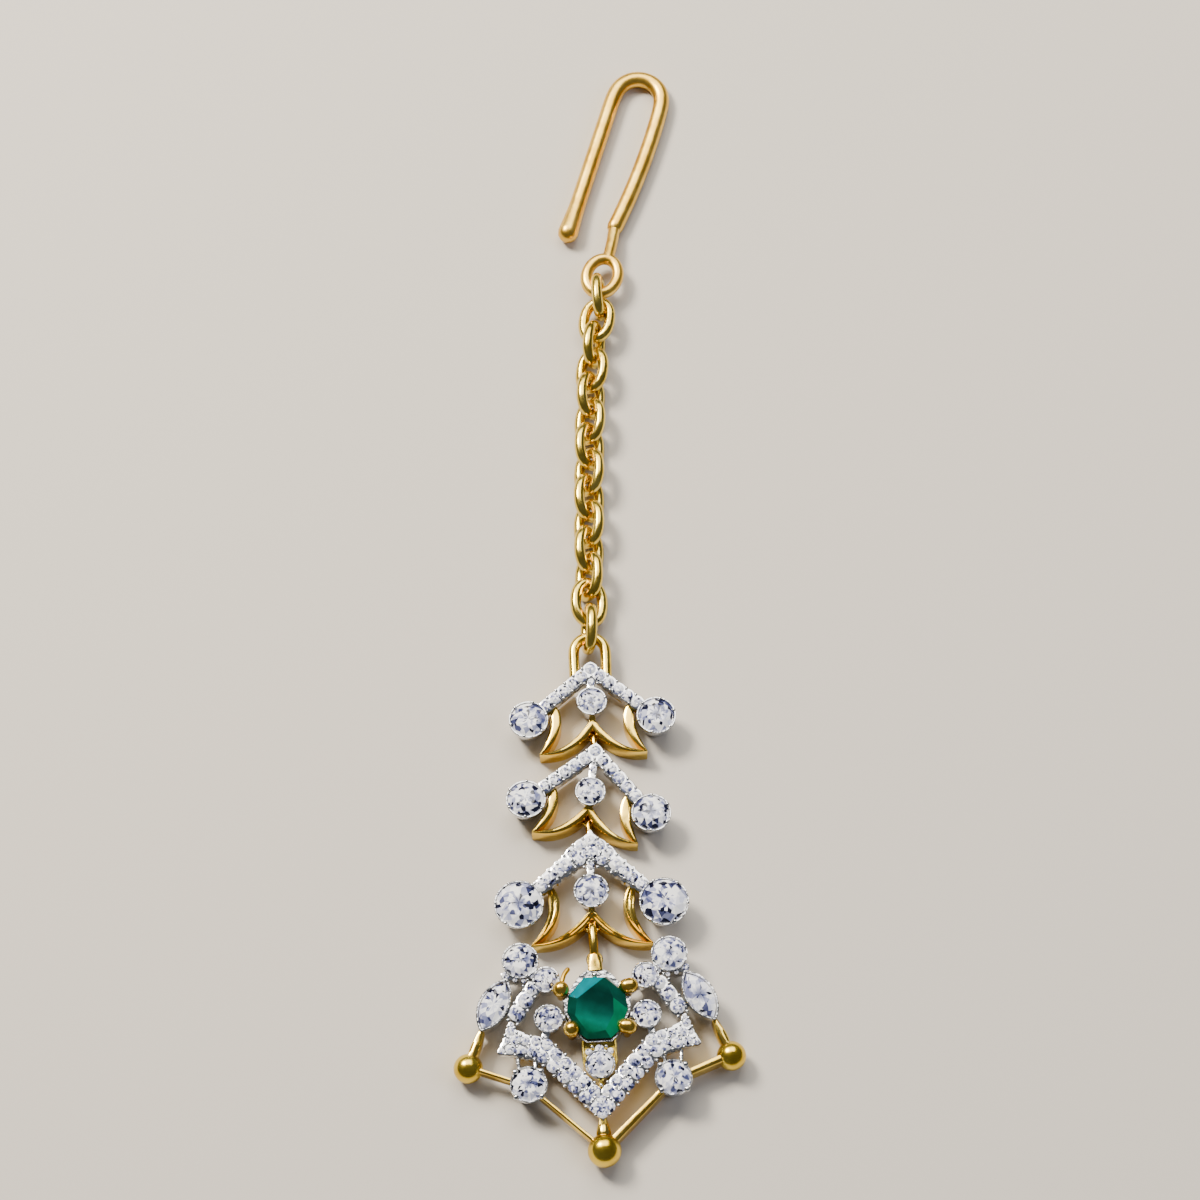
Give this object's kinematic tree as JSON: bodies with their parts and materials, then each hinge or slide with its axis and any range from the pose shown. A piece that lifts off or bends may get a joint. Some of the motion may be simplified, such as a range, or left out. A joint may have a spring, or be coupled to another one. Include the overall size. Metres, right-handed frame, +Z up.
{
  "type": "maang tikka",
  "caption": "Forehead jewel laid flat: bent-wire hair hook, cable chain, three pave chevron tiers on gold galleries, and a kite-shaped emerald drop with clusters and gold balls",
  "frame": {"origin": "the middle of the jewel's footprint, on the surface that it lies on", "axes": "+Y runs from the drop to the hair hook, +X to the right seen from above, +Z up off the surface; the faces of the stones look along +Z"},
  "size_m": [0.0258, 0.114, 0.0039],
  "materials": {
    "yellow_gold": "polished yellow gold, its pave faces white gold",
    "diamond": "cut and polished",
    "emerald": "cut and polished"
  },
  "bodies": {
    "root": {"hair_hook": "yellow_gold", "chain_link_01": "yellow_gold", "chain_link_02": "yellow_gold", "chain_link_03": "yellow_gold", "chain_link_04": "yellow_gold", "chain_link_05": "yellow_gold", "chain_link_06": "yellow_gold", "chain_link_07": "yellow_gold", "chain_link_08": "yellow_gold", "chain_link_09": "yellow_gold", "chain_link_10": "yellow_gold", "chain_link_11": "yellow_gold", "chain_link_12": "yellow_gold", "chain_link_13": "yellow_gold", "chain_link_14": "yellow_gold", "link_ring_1": "yellow_gold", "link_ring_2": "yellow_gold", "link_ring_3": "yellow_gold", "tier_1_frame": "yellow_gold", "tier_2_frame": "yellow_gold", "tier_3_frame": "yellow_gold", "drop_frame": "yellow_gold", "tier_1_stone_left": "diamond", "tier_1_stone_right": "diamond", "tier_1_stone_centre": "diamond", "tier_2_stone_left": "diamond", "tier_2_stone_right": "diamond", "tier_2_stone_centre": "diamond", "tier_3_stone_left": "diamond", "tier_3_stone_right": "diamond", "tier_3_stone_centre": "diamond", "drop_stone_cluster_upper_left": "diamond", "drop_stone_cluster_upper_right": "diamond", "drop_stone_cluster_lower_left": "diamond", "drop_stone_cluster_lower_right": "diamond", "drop_stone_flank_left": "diamond", "drop_stone_flank_right": "diamond", "drop_stone_claw_set_left": "diamond", "drop_stone_claw_set_right": "diamond", "drop_stone_marquise_left": "diamond", "drop_stone_marquise_right": "diamond", "drop_stone_shield": "diamond", "emerald": "emerald"}
  },
  "joints": []
}
